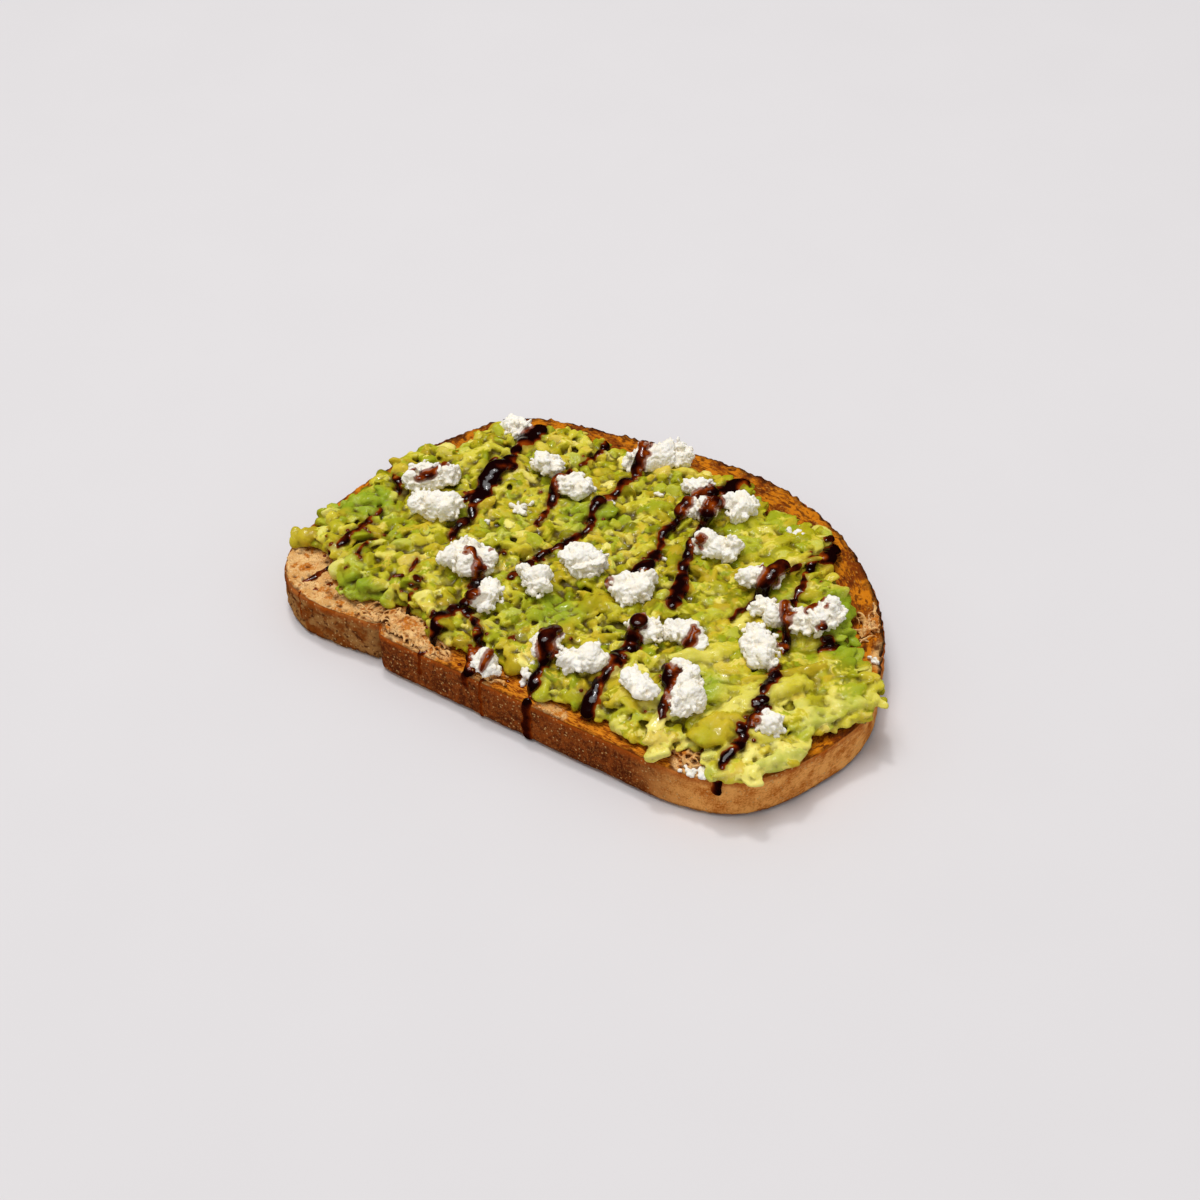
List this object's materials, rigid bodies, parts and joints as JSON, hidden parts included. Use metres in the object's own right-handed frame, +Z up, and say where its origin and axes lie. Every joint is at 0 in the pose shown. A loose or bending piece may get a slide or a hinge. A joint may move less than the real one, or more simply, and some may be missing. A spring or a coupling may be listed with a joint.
{
  "type": "avocado toast",
  "caption": "Wide slice of toasted bread spread with lumpy smashed avocado, topped with crumbled white cheese and thin lines of dark glaze.",
  "frame": {"origin": "middle of the slice's flat underside, which it rests on", "axes": "+X along the slice, +Y towards the domed top of the loaf it was cut from, +Z up"},
  "size_m": [0.1726, 0.1142, 0.0261],
  "materials": {
    "toasted_bread": "dry toasted crumb and browned crust",
    "smashed_avocado": "moist, mottled yellow green",
    "white_cheese": "crumbly, slightly moist",
    "dark_glaze": "thick glossy syrup"
  },
  "bodies": {
    "root": {"bread_slice": "toasted_bread", "avocado_mash": "smashed_avocado", "cheese_crumble_01": "white_cheese", "cheese_crumble_02": "white_cheese", "cheese_crumble_03": "white_cheese", "cheese_crumble_04": "white_cheese", "cheese_crumble_05": "white_cheese", "cheese_crumble_06": "white_cheese", "cheese_crumble_07": "white_cheese", "cheese_crumble_08": "white_cheese", "cheese_crumble_09": "white_cheese", "cheese_crumble_10": "white_cheese", "cheese_crumble_11": "white_cheese", "cheese_crumble_12": "white_cheese", "cheese_crumble_13": "white_cheese", "cheese_crumble_14": "white_cheese", "cheese_crumble_15": "white_cheese", "cheese_crumble_16": "white_cheese", "cheese_crumble_17": "white_cheese", "cheese_crumble_18": "white_cheese", "cheese_crumble_19": "white_cheese", "cheese_crumble_20": "white_cheese", "cheese_crumble_21": "white_cheese", "cheese_crumble_22": "white_cheese", "cheese_crumble_23": "white_cheese", "cheese_crumble_24": "white_cheese", "cheese_crumble_25": "white_cheese", "cheese_crumble_26": "white_cheese", "cheese_crumble_27": "white_cheese"}
  },
  "joints": []
}
